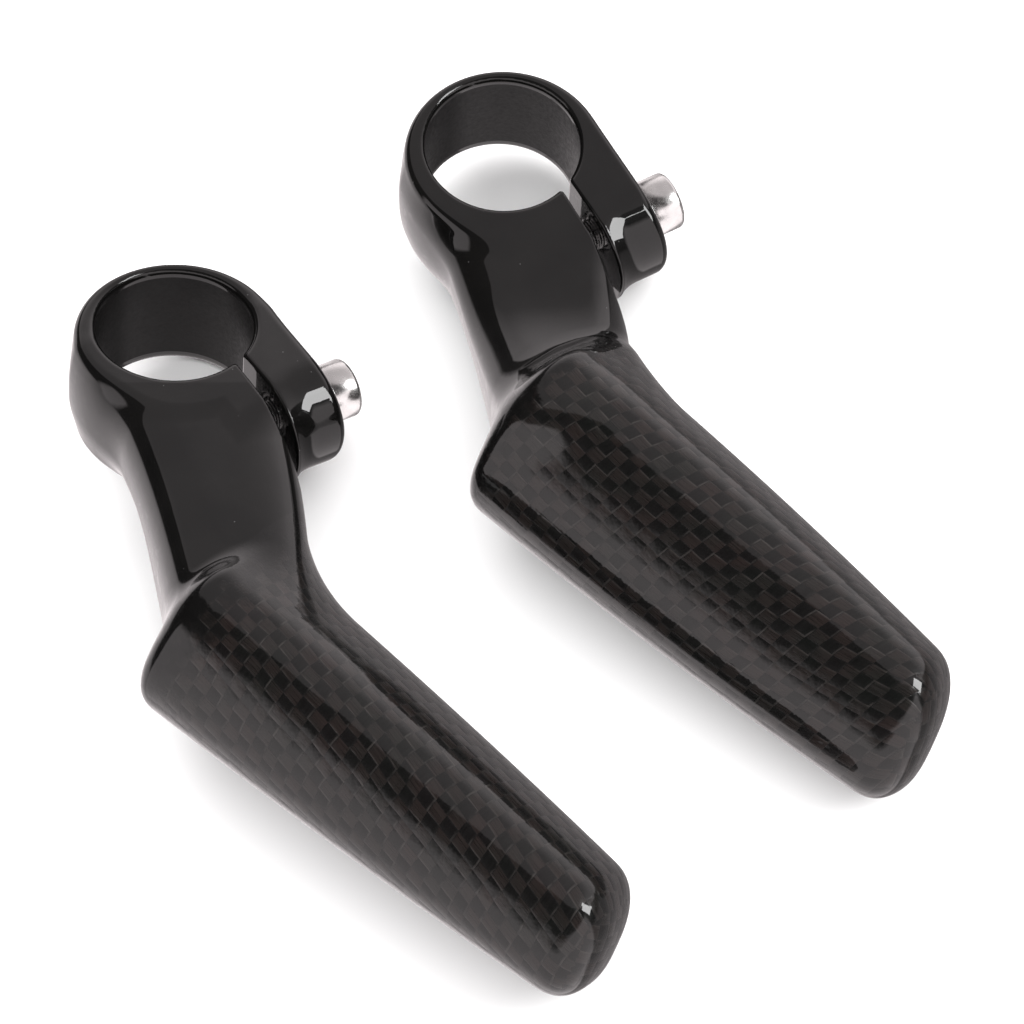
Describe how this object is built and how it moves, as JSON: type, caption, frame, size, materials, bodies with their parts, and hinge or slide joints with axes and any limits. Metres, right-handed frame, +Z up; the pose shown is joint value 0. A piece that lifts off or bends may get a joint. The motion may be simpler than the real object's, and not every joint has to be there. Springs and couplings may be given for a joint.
{
  "type": "bar end grips",
  "caption": "Left and right clamp-on bicycle bar ends, each with a split ring, a clamp bolt, a short curved neck and a long tapered grip.",
  "frame": {"origin": "middle of the pair's outline on the surface that it lies on", "axes": "+Z up from the surface, +Y from the tips of the grips towards the clamps, +X to the right, from the right bar end towards the left one"},
  "size_m": [0.1132, 0.1424, 0.0295],
  "materials": {
    "clamp_neck": "gloss",
    "grip_shell": "gloss",
    "foam_core": "matte",
    "clamp_bolt": "polished",
    "washer": "satin",
    "threaded_insert": "satin"
  },
  "bodies": {
    "right_bar_end": {"right_clamp_neck": "clamp_neck", "right_grip_shell": "grip_shell", "right_foam_core": "foam_core", "right_threaded_insert": "threaded_insert"},
    "right_washer": {"right_washer": "washer"},
    "right_bolt": {"right_clamp_bolt": "clamp_bolt"},
    "left_bar_end": {"left_clamp_neck": "clamp_neck", "left_grip_shell": "grip_shell", "left_foam_core": "foam_core", "left_threaded_insert": "threaded_insert"},
    "left_washer": {"left_washer": "washer"},
    "left_bolt": {"left_clamp_bolt": "clamp_bolt"}
  },
  "joints": [
    {"name": "right_bolt_travel", "type": "slide", "parent": "right_bar_end", "child": "right_washer", "axis": [0.8903, 0.3822, -0.2477], "range_m": [0, 0.004]},
    {"name": "right_bolt_turn", "type": "hinge", "parent": "right_washer", "child": "right_bolt", "pos_m": [-0.02303, 0.02533, 0.01003], "axis": [0.8903, 0.3822, -0.2477], "range_deg": [0, 1800]},
    {"name": "left_bar_end_place", "type": "slide", "parent": "right_bar_end", "child": "left_bar_end", "axis": [1, 0, 0], "range_m": [0, 0.06]},
    {"name": "left_bolt_travel", "type": "slide", "parent": "left_bar_end", "child": "left_washer", "axis": [0.9311, 0.3551, -0.0836], "range_m": [0, 0.004]},
    {"name": "left_bolt_turn", "type": "hinge", "parent": "left_washer", "child": "left_bolt", "pos_m": [0.02668, 0.04842, 0.00865], "axis": [0.9311, 0.3551, -0.0836], "range_deg": [0, 1800]}
  ],
  "couplings": [
    {"joint": "right_bolt_turn", "follows": "right_bolt_travel", "rad_per_m": 7854},
    {"joint": "left_bolt_turn", "follows": "left_bolt_travel", "rad_per_m": 7854}
  ]
}
